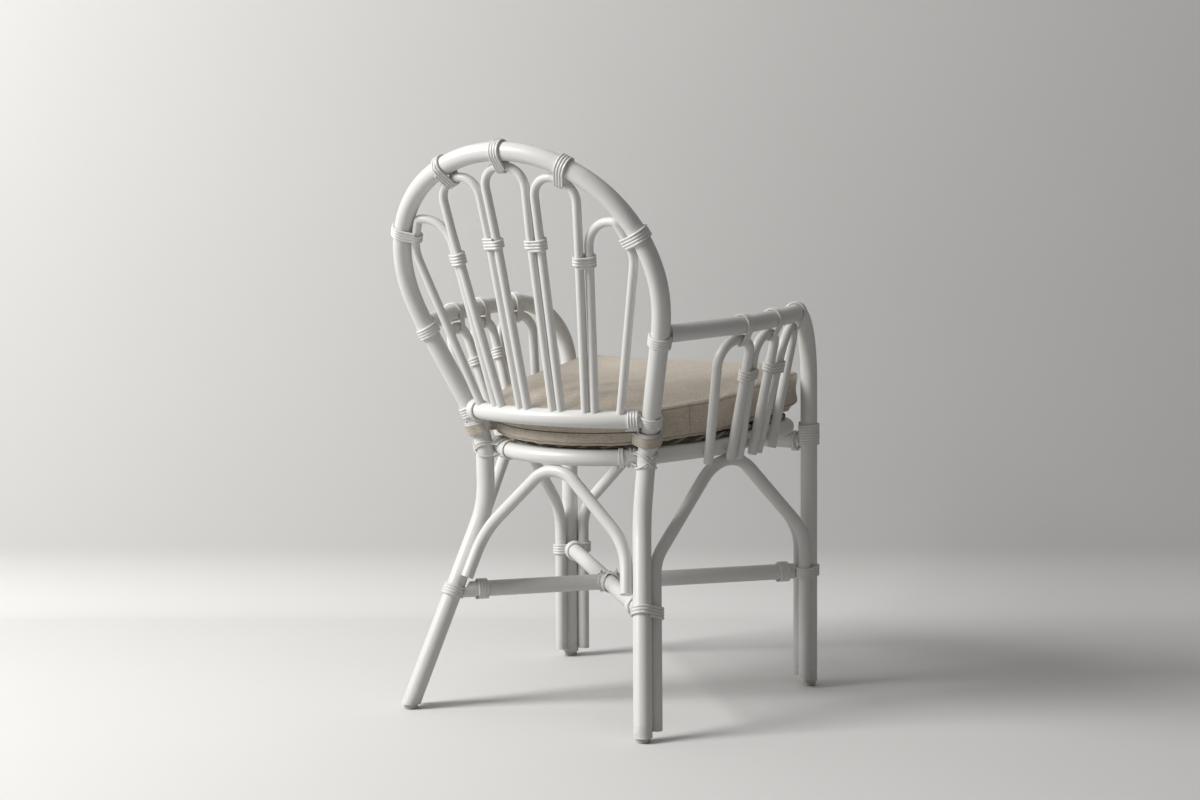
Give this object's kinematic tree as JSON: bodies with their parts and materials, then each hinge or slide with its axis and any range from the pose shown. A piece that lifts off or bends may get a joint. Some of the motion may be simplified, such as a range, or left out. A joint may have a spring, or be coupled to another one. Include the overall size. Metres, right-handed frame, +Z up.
{
  "type": "painted cane armchair with seat cushion",
  "caption": "Painted cane carver chair: hooped back filled with looped canes, arms that run down into the front legs, arched bracing, crossed stretchers and a tied box cushion.",
  "frame": {"origin": "centre of the bounding box's footprint, on the floor", "axes": "+Z up, the chair faces -Y, +X is the sitter's left"},
  "size_m": [0.5848, 0.5854, 0.884],
  "materials": {
    "painted_pole": "satin white paint over smooth thick cane, with faint node rings",
    "painted_rail": "satin white paint over smooth cane, with faint node rings",
    "painted_arch": "satin white paint over bent cane",
    "painted_back_cane": "satin white paint over thin cane",
    "painted_arm_cane": "satin white paint over thin cane",
    "painted_peel": "satin white paint over wound binding peel, dark in the grooves between turns",
    "painted_nail": "nail heads painted over with the frame",
    "rope": "twisted grey-brown edge rope",
    "deck_board": "white painted thin board, matte",
    "cushion_fabric": "beige linen weave, matte",
    "cushion_filling": "foam filling, hidden",
    "cushion_band": "beige linen band, matte",
    "glide_plastic": "grey-white moulded plastic"
  },
  "bodies": {
    "root": {"arm_joint_wrap_left": "painted_peel", "arm_joint_wrap_right": "painted_peel", "arm_left": "painted_pole", "arm_loop_left_1": "painted_arm_cane", "arm_loop_left_2": "painted_arm_cane", "arm_loop_left_3": "painted_arm_cane", "arm_loop_right_1": "painted_arm_cane", "arm_loop_right_2": "painted_arm_cane", "arm_loop_right_3": "painted_arm_cane", "arm_loop_ties_left": "painted_peel", "arm_loop_ties_right": "painted_peel", "arm_pair_ties_left": "painted_peel", "arm_pair_ties_right": "painted_peel", "arm_right": "painted_pole", "back_hoop": "painted_pole", "back_loop_1": "painted_back_cane", "back_loop_2": "painted_back_cane", "back_loop_3": "painted_back_cane", "back_loop_4": "painted_back_cane", "back_loop_5": "painted_back_cane", "back_rail": "painted_rail", "back_rail_wrap_left": "painted_peel", "back_rail_wrap_right": "painted_peel", "cane_nails": "painted_nail", "cross_wrap": "painted_peel", "cushion_cover": "cushion_fabric", "cushion_foam": "cushion_filling", "cushion_tie_left": "cushion_band", "cushion_tie_right": "cushion_band", "front_arch": "painted_arch", "front_rail": "painted_rail", "glide_front_left": "glide_plastic", "glide_front_right": "glide_plastic", "glide_rear_left": "glide_plastic", "glide_rear_right": "glide_plastic", "hoop_tie_1": "painted_peel", "hoop_tie_2": "painted_peel", "hoop_tie_3": "painted_peel", "hoop_tie_4": "painted_peel", "hoop_tie_5": "painted_peel", "leg_wrap_front_left": "painted_peel", "leg_wrap_front_right": "painted_peel", "leg_wrap_rear_left": "painted_peel", "leg_wrap_rear_right": "painted_peel", "pair_tie_1": "painted_peel", "pair_tie_2": "painted_peel", "pair_tie_3": "painted_peel", "pair_tie_4": "painted_peel", "rear_arch": "painted_arch", "seat_deck": "deck_board", "seat_edge_rope": "rope", "seat_front_wrap_left": "painted_peel", "seat_front_wrap_right": "painted_peel", "seat_rear_wrap_left": "painted_peel", "seat_rear_wrap_right": "painted_peel", "seat_ring": "painted_rail", "side_arch_left": "painted_arch", "side_arch_right": "painted_arch", "stretcher_left": "painted_rail", "stretcher_right": "painted_rail"}
  },
  "joints": []
}
